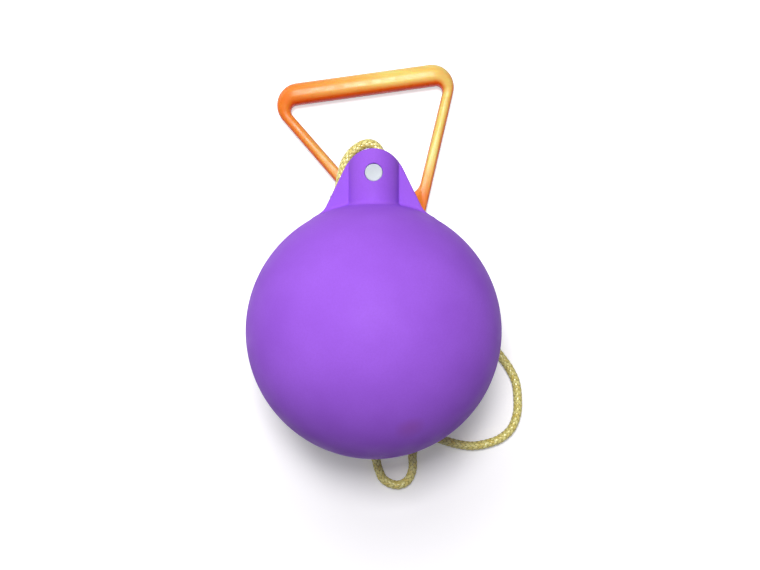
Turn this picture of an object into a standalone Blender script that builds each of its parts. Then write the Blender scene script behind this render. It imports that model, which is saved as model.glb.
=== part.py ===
"""A training throwing hammer: a soft hollow ball with a moulded lug, a rope and a triangular handle.

The hammer lies on a flat surface, z = 0, as if just put down. The ball rests on the flat head of
its vent plug, which is the origin. +Y runs from the ball to the handle's bar, and +Z is up.
"""
import math

import bmesh
import bpy
from mathutils import Vector

MM = 0.001

# Gap that pieces which touch keep between their meshes.
SEAT_GAP = 0.3 * MM

# Ball: a blow-moulded soft shell.
BALL_RADIUS = 82.5 * MM
BALL_WALL = 3.2 * MM
BALL_SEGMENTS = 56
BALL_RINGS = 28
CAVITY_SEGMENTS = 32
CAVITY_RINGS = 16

# Vent plug in the ball's underside, with a flat head flush with the skin, and its seat inside.
VENT_HOLE_RADIUS = 7.3 * MM
VENT_SEAT_RADIUS = 12.0 * MM
VENT_SEAT_HEIGHT = 5.0 * MM
PLUG_STEM_LENGTH = 2.2 * MM
PLUG_FLANGE_RADIUS = 9.4 * MM
PLUG_FLANGE_THICKNESS = 1.6 * MM

# Lug: an arched plate with a half-round boss on both faces.
LUG_DOME_RADIUS = 21.2 * MM
LUG_RISE = 12.7 * MM
LUG_DOME_Y = BALL_RADIUS + LUG_RISE
LUG_FLANK_ANGLE = math.radians(26)
LUG_PLATE_THICKNESS = 6.0 * MM
LUG_FILLET = 5.0 * MM
LUG_ROOT_SINK = 0.3 * MM
LUG_ROOT_DEPTH = 1.6 * MM
BOSS_RADIUS = 16.4 * MM

# Slot behind the plate, where the rope's eye goes round the pin.
SLOT_WIDTH = 8.5 * MM
SLOT_FLOOR_RISE = 2.1 * MM

# Pin across the lug and its two press-in caps.
PIN_RISE = 5.9 * MM
PIN_Y = LUG_DOME_Y + PIN_RISE
PIN_HOLE_RADIUS = 5.7 * MM
PIN_CLEARANCE = 0.3 * MM
PIN_BORE_RADIUS = 3.0 * MM
PIN_BORE_DEPTH = 6.0 * MM
CAP_THICKNESS = 2.6 * MM
CAP_RECESS = 1.6 * MM
CAP_SPIGOT_LENGTH = 5.0 * MM
CAP_EDGE = 0.6 * MM

# Braided rope, its crimped sleeve and its stopper knot.
ROPE_RADIUS = 3.25 * MM
ROPE_FLOOR_LIFT = 0.2 * MM
SLEEVE_WALL = 1.5 * MM
SLEEVE_CLEARANCE = 0.45 * MM
SLEEVE_LENGTH = 18.0 * MM
SLEEVE_EDGE = 0.7 * MM
SLEEVE_DROP = 17.25 * MM
DEAD_END_INSET = 4.0 * MM
KNOT_RADIUS = 7.2 * MM
KNOT_LENGTH = 12.8 * MM
KNOT_ROUNDING = 3.8 * MM
KNOT_STUB_RADIUS = 3.05 * MM
KNOT_STUB_LENGTH = 3.5 * MM

# Handle: a rounded triangle with a thick bar, two slim legs and a solid web at the rope's end.
HANDLE_X = 16.9 * MM
HANDLE_Y = 69.4 * MM
HANDLE_TURN = math.radians(7.9)
HANDLE_REACH = 104.0 * MM
BAR_LENGTH = 130.0 * MM
BAR_MIDDLE_X = -11.75 * MM
BAR_THICKNESS = 15.3 * MM
BAR_DEPTH = 15.0 * MM
LEFT_LEG_ANGLE = math.radians(33.0)
RIGHT_LEG_ANGLE = math.radians(21.2)
LEG_TOP_WIDTH = 7.0 * MM
LEG_LOW_WIDTH = 8.2 * MM
LEG_DEPTH = 10.0 * MM
WEB_LENGTH = 23.0 * MM
WEB_DEPTH = 15.0 * MM
BAR_OUTER_FILLET = 15.5 * MM
BAR_INNER_FILLET = 4.5 * MM
WEB_OUTER_FILLET = 9.0 * MM
WEB_INNER_FILLET = 11.0 * MM
SECTION_ROUNDING = 0.42
ROPE_BORE_RADIUS = 3.8 * MM
BORE_FLARE_RADIUS = 5.1 * MM
BORE_FLARE_DEPTH = 2.0 * MM

# Points on fillets, straight sides and the corners of a handle section.
FILLET_STEPS = 8
SIDE_STEPS = 5
SECTION_STEPS = 4
ROUND_STEPS = 40

# Chosen centre points of the rope's eye, in millimetres from the pin's middle: up out of the
# sleeve, round the outside of the lug, into the slot, round the pin and back down.
EYE_PLANE_Z = BALL_RADIUS - LUG_PLATE_THICKNESS / 2 - SLOT_WIDTH / 2
SLEEVE_TOP = EYE_PLANE_Z - SLEEVE_DROP
SLEEVE_BOTTOM = SLEEVE_TOP - SLEEVE_LENGTH
ROPE_SPLICE_Z = (SLEEVE_TOP + SLEEVE_BOTTOM) / 2
DEAD_END_Z = SLEEVE_BOTTOM + DEAD_END_INSET
LIVE_STRAND = (-24.1, -13.1)
DEAD_STRAND = (-17.2, -13.1)
EYE_RISE = [(-24.1, -13.1, -15.2), (-24.1, -12.5, -9.2), (-23.9, -10.8, -4.0), (-23.5, -7.6, -0.6)]
EYE_ARC = [
    (-22.9, -3.2), (-22.1, 1.2), (-20.9, 6.6), (-18.8, 11.4), (-15.9, 15.6), (-12.1, 18.8),
    (-7.7, 20.8), (-3.4, 21.3), (0.4, 20.4), (3.6, 17.9), (6.2, 13.6), (8.0, 8.8), (9.1, 3.8),
    (9.1, -1.2), (7.4, -5.5), (4.2, -8.4), (0.0, -9.3), (-4.5, -9.5), (-9.0, -9.8),
]
EYE_FALL = [(-13.1, -10.4, -0.6), (-16.0, -11.6, -4.0), (-17.1, -12.6, -9.2), (-17.2, -13.1, -15.2)]

# Chosen centre points of the free rope, in millimetres: out of the sleeve, down to the surface,
# round under the ball's left side, a bight in front, a loop on the right and back to the handle.
ROPE_FALL = [
    (-24.4, 87.4, 37.0), (-25.8, 84.4, 30.5), (-28.1, 79.8, 22.8), (-31.3, 74.3, 15.0),
    (-35.4, 68.3, 8.2), (-40.0, 62.4, 4.5),
]
ROPE_LIE = [
    (-44.5, 57.0), (-50.0, 42.0), (-53.8, 24.0), (-54.5, 4.0), (-52.0, -16.0), (-46.5, -36.0),
    (-37.5, -54.0), (-26.0, -69.0), (-12.5, -80.8), (-3.6, -87.8), (1.0, -94.2), (2.8, -100.9),
    (6.9, -109.0), (16.0, -112.7), (23.7, -109.5), (27.3, -100.9), (27.2, -91.8), (29.2, -84.5),
    (34.8, -79.2), (42.6, -79.0), (51.4, -81.6), (60.3, -83.9), (70.3, -84.9), (80.9, -83.1),
    (90.4, -79.2), (97.8, -72.1), (101.6, -61.5), (101.9, -49.7), (100.4, -39.1), (95.7, -29.4),
    (89.6, -20.8), (81.0, -10.0), (70.0, 4.0), (58.6, 17.0), (46.6, 28.2), (35.4, 37.6),
]
ROPE_RISE = [(27.6, 45.2, 4.2), (21.9, 51.4, 5.9)]
ROPE_LEAD = 12.0 * MM
ROPE_STEP = 8.0 * MM
EYE_STEP = 4.0 * MM


def clear_scene():
    """Remove every object of the open scene."""
    for item in list(bpy.data.objects):
        bpy.data.objects.remove(item, do_unlink=True)


def material(name, colour, roughness, metallic=0.0):
    """A Principled material of one plain colour."""
    made = bpy.data.materials.new(name)
    made.use_nodes = True
    shader = made.node_tree.nodes["Principled BSDF"]
    shader.inputs["Base Color"].default_value = (*colour, 1.0)
    shader.inputs["Roughness"].default_value = roughness
    shader.inputs["Metallic"].default_value = metallic
    return made


def add_object(name, mesh, surface=None):
    """Link an object that holds the mesh, smooth but for its sharp edges."""
    item = bpy.data.objects.new(name, mesh)
    bpy.context.scene.collection.objects.link(item)
    if surface:
        mesh.materials.append(surface)
        mesh.shade_smooth()
        mesh.set_sharp_from_angle(angle=math.radians(32))
    return item


def mesh_from(bm, name):
    """Turn a bmesh into a mesh whose faces point out."""
    bmesh.ops.recalc_face_normals(bm, faces=bm.faces)
    mesh = bpy.data.meshes.new(name)
    bm.to_mesh(mesh)
    bm.free()
    return mesh


def boolean(item, tool, operation):
    """Join or cut with another object, which is only a guide after that."""
    tool.hide_render = True
    tool.display_type = "WIRE"
    step = item.modifiers.new(tool.name, "BOOLEAN")
    step.operation = operation
    step.object = tool
    step.solver = "EXACT"


def sphere(name, centre, radius, segments, rings, surface=None):
    """A ball of latitude rings about +Z."""
    bm = bmesh.new()
    bmesh.ops.create_uvsphere(bm, u_segments=segments, v_segments=rings, radius=radius)
    bmesh.ops.translate(bm, vec=centre, verts=bm.verts)
    return add_object(name, mesh_from(bm, name), surface)


def prism(name, outline, low, high, surface=None):
    """A flat outline in X and Y, filled and extruded from one height to another."""
    bm = bmesh.new()
    base = bm.faces.new([bm.verts.new((x, y, low)) for x, y in outline])
    grown = bmesh.ops.extrude_face_region(bm, geom=[base])
    top = [part for part in grown["geom"] if isinstance(part, bmesh.types.BMVert)]
    bmesh.ops.translate(bm, vec=(0, 0, high - low), verts=top)
    return add_object(name, mesh_from(bm, name), surface)


def turned(name, profile, axis="Z", segments=ROUND_STEPS, surface=None):
    """A profile of (radius, height) points that starts and ends at radius 0, spun about an axis."""
    bm = bmesh.new()
    rings = []
    for radius, height in profile:
        count = segments if radius > 0 else 1
        ring = []
        for step in range(count):
            angle = 2 * math.pi * (step + 0.5) / segments
            across = (radius * math.cos(angle), radius * math.sin(angle))
            place = (*across, height) if axis == "Z" else (across[0], height, -across[1])
            ring.append(bm.verts.new(place))
        rings.append(ring)
    for lower, upper in zip(rings, rings[1:]):
        for step in range(segments):
            after = (step + 1) % segments
            corners = [lower[step % len(lower)], lower[after % len(lower)],
                       upper[after % len(upper)], upper[step % len(upper)]]
            bm.faces.new(list(dict.fromkeys(corners)))
    return add_object(name, mesh_from(bm, name), surface)


def smooth_route(points, step):
    """Evenly spaced points on a smooth curve through the chosen ones."""
    chain = [points[0] * 2 - points[1]] + points + [points[-1] * 2 - points[-2]]
    fine = []
    pieces = 24
    for before, start, end, after in zip(chain, chain[1:], chain[2:], chain[3:]):
        for piece in range(pieces):
            t = piece / pieces
            bend = (before * -1 + start * 3 - end * 3 + after) * t ** 3
            lean = (before * 2 - start * 5 + end * 4 - after) * t ** 2
            fine.append((start * 2 + (end - before) * t + lean + bend) / 2)
    fine.append(points[-1])
    reach = [0.0]
    for near, far in zip(fine, fine[1:]):
        reach.append(reach[-1] + (far - near).length)
    count = max(2, round(reach[-1] / step))
    route = []
    index = 0
    for number in range(count + 1):
        target = reach[-1] * number / count
        while index < len(fine) - 2 and reach[index + 1] < target:
            index += 1
        part = (target - reach[index]) / (reach[index + 1] - reach[index])
        route.append(fine[index].lerp(fine[index + 1], part))
    return route


def tube(name, route, radius, surface, sides=3):
    """A round tube with filled ends along a route."""
    curve = bpy.data.curves.new(name, "CURVE")
    curve.dimensions = "3D"
    curve.bevel_depth = radius
    curve.bevel_resolution = sides
    curve.use_fill_caps = True
    line = curve.splines.new("POLY")
    line.points.add(len(route) - 1)
    for point, place in zip(line.points, route):
        point.co = (*place, 1.0)
    curve.materials.append(surface)
    item = bpy.data.objects.new(name, curve)
    bpy.context.scene.collection.objects.link(item)
    return item


def in_metres(points):
    """Chosen millimetre points as vectors in metres."""
    return [Vector(point) * MM for point in points]


def meeting(first, second):
    """The point where two lines, each through two points, cross."""
    start, along = first[0], first[1] - first[0]
    other, across = second[0], second[1] - second[0]
    gap = other - start
    share = (gap.x * across.y - gap.y * across.x) / (along.x * across.y - along.y * across.x)
    return start + along * share


def rounded_outline(corners, fillets):
    """Corner arcs, each followed by the straight side to the next corner, as lists of points."""
    arcs = []
    for index, corner in enumerate(corners):
        back = (corners[index - 1] - corner).normalized()
        ahead = (corners[(index + 1) % len(corners)] - corner).normalized()
        half = back.angle(ahead) / 2
        reach = fillets[index] / math.tan(half)
        centre = corner + (back + ahead).normalized() * fillets[index] / math.sin(half)
        start = corner + back * reach - centre
        turn = (corner + ahead * reach - centre).angle_signed(start)
        arc = []
        for step in range(FILLET_STEPS + 1):
            angle = turn * step / FILLET_STEPS
            x = start.x * math.cos(angle) - start.y * math.sin(angle)
            y = start.x * math.sin(angle) + start.y * math.cos(angle)
            arc.append(centre + Vector((x, y)))
        arcs.append(arc)
    points = []
    for index, arc in enumerate(arcs):
        points += arc
        target = arcs[(index + 1) % len(arcs)][0]
        points += [arc[-1].lerp(target, step / SIDE_STEPS) for step in range(1, SIDE_STEPS)]
    return points


def arch_outline():
    """The lug's outline: a dome, straight flanks, and fillets that sweep out into the ball."""
    lean = LUG_FLANK_ANGLE
    outwards = Vector((math.cos(lean), math.sin(lean)))
    down = Vector((math.sin(lean), -math.cos(lean)))
    shoulder = Vector((0, LUG_DOME_Y)) + outwards * LUG_DOME_RADIUS
    skin = BALL_RADIUS - LUG_ROOT_SINK
    start = shoulder + outwards * LUG_FILLET
    along = start.dot(down)
    reach = -along - math.sqrt(along ** 2 - start.length_squared + (skin + LUG_FILLET) ** 2)
    centre = start + down * reach
    leave = (-outwards).to_3d()
    arrive = (-centre).normalized().to_3d()
    right = [centre * (skin - BALL_WALL - LUG_ROOT_DEPTH) / centre.length]
    for step in range(FILLET_STEPS + 1):
        right.append(centre + LUG_FILLET * arrive.slerp(leave, step / FILLET_STEPS).to_2d())
    outline = [(point.x, point.y) for point in right]
    sweep = math.pi - 2 * lean
    for step in range(ROUND_STEPS + 1):
        angle = lean + sweep * step / ROUND_STEPS
        outline.append((LUG_DOME_RADIUS * math.cos(angle),
                        LUG_DOME_Y + LUG_DOME_RADIUS * math.sin(angle)))
    outline += [(-point.x, point.y) for point in reversed(right)]
    return outline


def half_boss(name, low, high):
    """A slice, between two heights, of the round boss under the arch."""
    boss = turned(name, [(0, 0), (BOSS_RADIUS, 0), (BOSS_RADIUS, 1.5 * BALL_RADIUS),
                         (0, 1.5 * BALL_RADIUS)], axis="Y", segments=2 * ROUND_STEPS)
    boss.location.z = BALL_RADIUS
    boolean(boss, prism(name + "_arch", arch_outline(), low, high), "INTERSECT")
    return boss


def ball_shell(surface):
    """The hollow ball with its lug, rope slot, pin hole and vent hole."""
    centre = Vector((0, 0, BALL_RADIUS))
    shell = sphere("ball_shell", centre, BALL_RADIUS, BALL_SEGMENTS, BALL_RINGS, surface)
    plate_low = BALL_RADIUS - LUG_PLATE_THICKNESS / 2
    plate_high = BALL_RADIUS + LUG_PLATE_THICKNESS / 2
    boolean(shell, prism("lug_plate", arch_outline(), plate_low, plate_high), "UNION")
    boss = half_boss("lug_boss", 0.0, 2 * BALL_RADIUS)
    floor = BALL_RADIUS + SLOT_FLOOR_RISE
    slot = [(-2 * BOSS_RADIUS, floor), (2 * BOSS_RADIUS, floor),
            (2 * BOSS_RADIUS, 2 * BALL_RADIUS), (-2 * BOSS_RADIUS, 2 * BALL_RADIUS)]
    boolean(boss, prism("rope_slot", slot, plate_low - SLOT_WIDTH, BALL_RADIUS), "DIFFERENCE")
    boolean(shell, boss, "UNION")
    cavity = sphere("cavity", centre, BALL_RADIUS - BALL_WALL, CAVITY_SEGMENTS, CAVITY_RINGS)
    boolean(shell, cavity, "DIFFERENCE")
    pin_hole = turned("pin_hole", [(0, 0), (PIN_HOLE_RADIUS, 0), (PIN_HOLE_RADIUS, 2 * BALL_RADIUS),
                                   (0, 2 * BALL_RADIUS)])
    pin_hole.location.y = PIN_Y
    boolean(shell, pin_hole, "DIFFERENCE")
    seat = turned("vent_seat", [(0, BALL_WALL / 2), (VENT_SEAT_RADIUS, BALL_WALL / 2),
                                (VENT_SEAT_RADIUS, VENT_SEAT_HEIGHT), (0, VENT_SEAT_HEIGHT)])
    boolean(shell, seat, "UNION")
    vent = turned("vent_hole", [(0, -BALL_WALL), (VENT_HOLE_RADIUS, -BALL_WALL),
                                (VENT_HOLE_RADIUS, 2 * VENT_SEAT_HEIGHT), (0, 2 * VENT_SEAT_HEIGHT)])
    boolean(shell, vent, "DIFFERENCE")
    return shell


def vent_plug(surface):
    """The plug: a flat head in the vent hole and a flange that holds it from inside."""
    head = VENT_HOLE_RADIUS - SEAT_GAP
    flange_low = VENT_SEAT_HEIGHT + SEAT_GAP
    flange_high = flange_low + PLUG_FLANGE_THICKNESS
    stem_top = flange_high + PLUG_STEM_LENGTH
    return turned("vent_plug", [(0, 0), (head, 0), (head, flange_low), (PLUG_FLANGE_RADIUS, flange_low),
                                (PLUG_FLANGE_RADIUS, flange_high), (head / 2, flange_high),
                                (head / 2, stem_top), (0, stem_top)], surface=surface)


def cap_seat():
    """Height above the pin's middle of the front cap's inner face."""
    return BOSS_RADIUS - CAP_RECESS - CAP_THICKNESS


def lug_pin(surface):
    """The pin that the rope's eye hangs on, bored at both ends for its caps."""
    radius = PIN_HOLE_RADIUS - PIN_CLEARANCE
    end = cap_seat() - SEAT_GAP
    floor = end - PIN_BORE_DEPTH
    pin = turned("lug_pin", [(0, -floor), (PIN_BORE_RADIUS, -floor), (PIN_BORE_RADIUS, -end),
                             (radius, -end), (radius, end), (PIN_BORE_RADIUS, end),
                             (PIN_BORE_RADIUS, floor), (0, floor)], surface=surface)
    pin.location = (0, PIN_Y, BALL_RADIUS)
    return pin


def pin_cap(name, upward, surface):
    """A press-in cap: a disc with a rounded rim and a spigot that enters the pin's bore."""
    radius = PIN_HOLE_RADIUS - PIN_CLEARANCE
    low = cap_seat()
    high = low + CAP_THICKNESS
    spigot = PIN_BORE_RADIUS - SEAT_GAP
    profile = [(0, low - CAP_SPIGOT_LENGTH), (spigot, low - CAP_SPIGOT_LENGTH), (spigot, low),
               (radius, low), (radius, high - CAP_EDGE)]
    for step in range(1, 4):
        angle = math.pi / 2 * step / 3
        profile.append((radius - CAP_EDGE + CAP_EDGE * math.cos(angle),
                        high - CAP_EDGE + CAP_EDGE * math.sin(angle)))
    profile.append((0, high))
    cap = turned(name, [(across, upward * height) for across, height in profile], surface=surface)
    cap.location = (0, PIN_Y, BALL_RADIUS)
    return cap


def by_the_pin(points):
    """Chosen millimetre points from the pin's middle and the eye's plane, as places in metres."""
    middle = Vector((0, PIN_Y, EYE_PLANE_Z))
    return [middle + Vector(point).to_3d() * MM for point in points]


def rope_eye(surface):
    """The eye spliced at the ball: from the sleeve round the lug and its pin, and back."""
    start = by_the_pin([LIVE_STRAND])[0]
    start.z = ROPE_SPLICE_Z + SEAT_GAP
    end = by_the_pin([DEAD_STRAND])[0]
    end.z = DEAD_END_Z
    route = [start] + by_the_pin(EYE_RISE + EYE_ARC + EYE_FALL) + [end]
    return tube("rope_head_eye", smooth_route(route, EYE_STEP), ROPE_RADIUS, surface)


def stadium(half_length, radius, steps):
    """A flat oval: two half circles and the straight sides between them."""
    outline = []
    for side in (1, -1):
        for step in range(steps + 1):
            angle = math.pi * step / steps - math.pi / 2
            outline.append((side * (half_length + radius * math.cos(angle)),
                            side * radius * math.sin(angle)))
    return outline


def head_sleeve(surface):
    """The crimped sleeve: a flat oval tube round the rope's two strands."""
    spread = (DEAD_STRAND[0] - LIVE_STRAND[0]) / 2 * MM
    bore = ROPE_RADIUS + SLEEVE_CLEARANCE
    outline = stadium(spread, bore + SLEEVE_WALL, ROUND_STEPS // 4)
    sleeve = prism("head_sleeve", outline, SLEEVE_BOTTOM, SLEEVE_TOP, surface)
    middle = (by_the_pin([LIVE_STRAND])[0] + by_the_pin([DEAD_STRAND])[0]) / 2
    middle.z = 0
    edge = sleeve.modifiers.new("edges", "BEVEL")
    edge.width = SLEEVE_EDGE
    edge.segments = 2
    edge.angle_limit = math.radians(60)
    hole = prism("sleeve_bore", stadium(spread, bore, ROUND_STEPS // 4), 0, 2 * SLEEVE_TOP)
    sleeve.location = middle
    hole.location = middle
    boolean(sleeve, hole, "DIFFERENCE")
    return sleeve


def handle_place(x, y, z=0.0):
    """A point of the handle's own frame, in the hammer's."""
    turn_x = x * math.cos(HANDLE_TURN) - y * math.sin(HANDLE_TURN)
    turn_y = x * math.sin(HANDLE_TURN) + y * math.cos(HANDLE_TURN)
    return Vector((HANDLE_X + turn_x, HANDLE_Y + turn_y, BAR_DEPTH / 2 + z))


def free_rope(surface):
    """The free rope, from the sleeve round on the surface to the handle's mouth."""
    lie = (ROPE_RADIUS + ROPE_FLOOR_LIFT) / MM
    points = ROPE_FALL + [(x, y, lie) for x, y in ROPE_LIE] + ROPE_RISE
    start = by_the_pin([LIVE_STRAND])[0]
    sleeve = [Vector((start.x, start.y, ROPE_SPLICE_Z)), Vector((start.x, start.y, SLEEVE_BOTTOM))]
    lead = [ROPE_LEAD, ROPE_LEAD * 0.6, ROPE_RADIUS + SEAT_GAP]
    route = sleeve + in_metres(points) + [handle_place(0, -reach) for reach in lead]
    return tube("rope", smooth_route(route, ROPE_STEP), ROPE_RADIUS, surface)


def leg_line(side, angle, edge):
    """A leg's middle line moved outwards at its top and its lower end by half its width times edge."""
    top = Vector((BAR_MIDDLE_X + side * BAR_LENGTH / 2, HANDLE_REACH))
    low = top + Vector((-side * math.tan(angle), -1)) * (HANDLE_REACH - WEB_LENGTH)
    outwards = Vector((side * math.cos(angle), -math.sin(angle)))
    return (top + outwards * edge * LEG_TOP_WIDTH / 2, low + outwards * edge * LEG_LOW_WIDTH / 2)


def handle_outline(edge, bar_y, web_y, bar_fillet, web_fillet):
    """The handle's outer outline, with edge 1, or that of its opening, with edge -1."""
    left = leg_line(-1, LEFT_LEG_ANGLE, edge)
    right = leg_line(1, RIGHT_LEG_ANGLE, edge)
    bar = (Vector((0, bar_y)), Vector((1, bar_y)))
    web = (Vector((0, web_y)), Vector((1, web_y)))
    corners = [meeting(bar, right), meeting(bar, left), meeting(web, left), meeting(web, right)]
    return rounded_outline(corners, [bar_fillet, bar_fillet, web_fillet, web_fillet])


def handle_depths():
    """The handle's depth at each point of its outline, eased from side to side at the corners."""
    changes = [(LEG_DEPTH, BAR_DEPTH), (BAR_DEPTH, LEG_DEPTH),
               (LEG_DEPTH, WEB_DEPTH), (WEB_DEPTH, LEG_DEPTH)]
    depths = []
    for before, after in changes:
        for step in range(FILLET_STEPS + 1):
            share = step / FILLET_STEPS
            share = share * share * (3 - 2 * share)
            depths.append(before + (after - before) * share)
        depths += [after] * (SIDE_STEPS - 1)
    return depths


def handle_section(inner, outer, depth):
    """A rounded rectangle that stands between a point of the opening and one of the outside."""
    across = (outer - inner) / 2
    middle = (outer + inner) / 2
    half_width = across.length
    across = across / half_width
    half_depth = depth / 2
    rounding = SECTION_ROUNDING * min(2 * half_width, depth)
    points = []
    for corner in range(4):
        for step in range(SECTION_STEPS + 1):
            angle = math.pi / 2 * (corner + step / SECTION_STEPS)
            side = 1 if corner in (0, 3) else -1
            rise = 1 if corner in (0, 1) else -1
            u = side * (half_width - rounding) + rounding * math.cos(angle)
            v = rise * (half_depth - rounding) + rounding * math.sin(angle)
            points.append((middle.x + across.x * u, middle.y + across.y * u, v))
    return points


def handle_frame(surface):
    """The one-piece handle: sections lofted round its triangle, and the rope's flared bore."""
    outer = handle_outline(1, HANDLE_REACH + BAR_THICKNESS / 2, 0.0, BAR_OUTER_FILLET, WEB_OUTER_FILLET)
    inner = handle_outline(-1, HANDLE_REACH - BAR_THICKNESS / 2, WEB_LENGTH, BAR_INNER_FILLET,
                           WEB_INNER_FILLET)
    bm = bmesh.new()
    rings = []
    for inside, outside, depth in zip(inner, outer, handle_depths()):
        rings.append([bm.verts.new(point) for point in handle_section(inside, outside, depth)])
    for index, ring in enumerate(rings):
        following = rings[(index + 1) % len(rings)]
        for step in range(len(ring)):
            after = (step + 1) % len(ring)
            bm.faces.new((ring[step], ring[after], following[after], following[step]))
    frame = add_object("handle_frame", mesh_from(bm, "handle_frame"), surface)
    flare = [(0, -BORE_FLARE_DEPTH), (BORE_FLARE_RADIUS, -BORE_FLARE_DEPTH), (BORE_FLARE_RADIUS, 0),
             (ROPE_BORE_RADIUS, BORE_FLARE_DEPTH), (ROPE_BORE_RADIUS, WEB_LENGTH - BORE_FLARE_DEPTH),
             (BORE_FLARE_RADIUS, WEB_LENGTH), (BORE_FLARE_RADIUS, WEB_LENGTH + BORE_FLARE_DEPTH),
             (0, WEB_LENGTH + BORE_FLARE_DEPTH)]
    bore = turned("rope_bore", flare, axis="Y", segments=ROUND_STEPS // 2)
    boolean(frame, bore, "DIFFERENCE")
    return frame, bore


def rope_tail(surface):
    """The rope's last stretch in the handle's bore, with a round end centred on the hinge axis."""
    profile = []
    for step in range(FILLET_STEPS):
        angle = math.pi / 2 * step / FILLET_STEPS
        profile.append((ROPE_RADIUS * math.sin(angle), -ROPE_RADIUS * math.cos(angle)))
    profile += [(ROPE_RADIUS, 0), (ROPE_RADIUS, WEB_LENGTH), (0, WEB_LENGTH)]
    return turned("rope_tail", profile, axis="Y", segments=ROUND_STEPS // 2, surface=surface)


def stopper_knot(surface):
    """The stopper knot's outer form: a rounded barrel with the rope's cut end standing out of it."""
    low = WEB_LENGTH + SEAT_GAP
    high = low + KNOT_LENGTH
    angles = [math.pi / 2 * step / FILLET_STEPS for step in range(FILLET_STEPS + 1)]
    profile = [(0, low)]
    for angle in angles:
        profile.append((KNOT_RADIUS - KNOT_ROUNDING * (1 - math.sin(angle)),
                        low + KNOT_ROUNDING * (1 - math.cos(angle))))
    for angle in angles:
        profile.append((KNOT_RADIUS - KNOT_ROUNDING * (1 - math.cos(angle)),
                        high - KNOT_ROUNDING * (1 - math.sin(angle))))
    profile += [(KNOT_STUB_RADIUS, high), (KNOT_STUB_RADIUS, high + KNOT_STUB_LENGTH),
                (0, high + KNOT_STUB_LENGTH)]
    return turned("stopper_knot", profile, axis="Y", segments=ROUND_STEPS // 2, surface=surface)


def handle_group(plastic, cord):
    """The handle, the rope's tail and its knot, on an empty whose X is the hinge axis."""
    hinge = bpy.data.objects.new("handle_lift_axis", None)
    hinge.location = handle_place(0, 0)
    hinge.rotation_euler.z = HANDLE_TURN
    bpy.context.scene.collection.objects.link(hinge)
    frame, bore = handle_frame(plastic)
    for item in (frame, bore, rope_tail(cord), stopper_knot(cord)):
        item.parent = hinge


def build():
    """Make every piece of the hammer."""
    clear_scene()
    soft_shell = material("soft_shell", (0.40, 0.15, 0.80), 0.42)
    plug_rubber = material("plug_rubber", (0.24, 0.08, 0.50), 0.55)
    cap_plastic = material("cap_plastic", (0.68, 0.72, 0.77), 0.40)
    pin_plastic = material("pin_plastic", (0.55, 0.57, 0.60), 0.45)
    rope_yarn = material("rope_yarn", (0.66, 0.53, 0.25), 0.80)
    sleeve_metal = material("sleeve_metal", (0.62, 0.63, 0.65), 0.35, 1.0)
    handle_plastic = material("handle_plastic", (0.95, 0.24, 0.04), 0.22)
    ball_shell(soft_shell)
    vent_plug(plug_rubber)
    lug_pin(pin_plastic)
    pin_cap("pin_cap_front", 1, cap_plastic)
    pin_cap("pin_cap_rear", -1, cap_plastic)
    rope_eye(rope_yarn)
    head_sleeve(sleeve_metal)
    free_rope(rope_yarn)
    handle_group(handle_plastic, rope_yarn)


build()
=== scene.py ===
"""Looks of the training throwing hammer: skins, braided rope, handle, fittings, lights and camera.

Everything is in metres in the hammer's own frame. It lies on z = 0, +Y runs from the ball to the
handle's bar, and the camera looks straight down at it.
"""
import itertools
import math

import bmesh
import bpy
import numpy as np
from mathutils import Matrix, Vector


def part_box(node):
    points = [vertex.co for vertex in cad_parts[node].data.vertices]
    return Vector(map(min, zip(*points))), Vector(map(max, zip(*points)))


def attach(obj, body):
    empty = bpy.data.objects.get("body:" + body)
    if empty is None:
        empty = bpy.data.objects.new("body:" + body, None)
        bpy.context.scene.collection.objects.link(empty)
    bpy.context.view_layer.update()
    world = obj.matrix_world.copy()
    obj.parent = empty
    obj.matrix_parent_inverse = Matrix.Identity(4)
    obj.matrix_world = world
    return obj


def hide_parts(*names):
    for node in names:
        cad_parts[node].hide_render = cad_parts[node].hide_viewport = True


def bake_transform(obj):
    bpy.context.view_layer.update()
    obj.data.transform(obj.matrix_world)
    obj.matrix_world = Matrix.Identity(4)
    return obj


MM = 0.001

# Camera, in the photograph's frame of 760 by 570 pixels.
CAMERA_PLACE = (0.00405, 0.0295, 0.8825)
CAMERA_LENS = 58.53
CAMERA_SENSOR = 36.0

# Studio: key and side lamps, the world's fill, and a floor that glows where it is seen, least under
# the ball, where the photograph has its shadow.
LAMP_TARGET = (0.0, 0.03, 0.04)
KEY_PLACE = (-0.08, 0.48, 1.74)
KEY_SIZE = 0.45
KEY_POWER = 25.5
SIDE_PLACE = (-1.10, 0.85, 0.36)
SIDE_SIZE = 0.7
SIDE_POWER = 4.6
WORLD_LEVEL = 0.11
FLOOR_HALF = 4.0
SHADOW_MIDDLE = (0.01, -0.09, 0.0)
SHADOW_FADE = (0.05, 0.18)
SHADOW_GLOW = 0.18
FLOOR_GLOW = 0.6
FAR_FADE = (0.3, 0.9)
FAR_GLOW = 0.4

# Materials: the ball's stain, where the handle's painted highlight lies and is streaked, the weights
# of its normals in its painted light and shade, and the stretch of the rope's fibres.
STAIN_PLACE = (0.0212, -0.0535, 0.1355)
STAIN_REACH = 11.0 * MM
# Where the handle's painted highlight grows, and where along Y it is streaked.
HIGHLIGHT_X = (-64 * MM, 8 * MM)
HIGHLIGHT_Y = (92 * MM, 120 * MM)
HIGHLIGHT_STREAKS_Y = (146 * MM, 158 * MM)
# Weights of a face's facing up or down, and of its leaning towards +Y, in the handle's painted light
# and shade.
PAINTED_LIGHT_UP = 0.85
PAINTED_LIGHT_BACK = 0.5
FIBRES_ALONG = 0.35
FIBRES_ACROSS = 9.0
STRANDS_APART = 40.0

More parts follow.
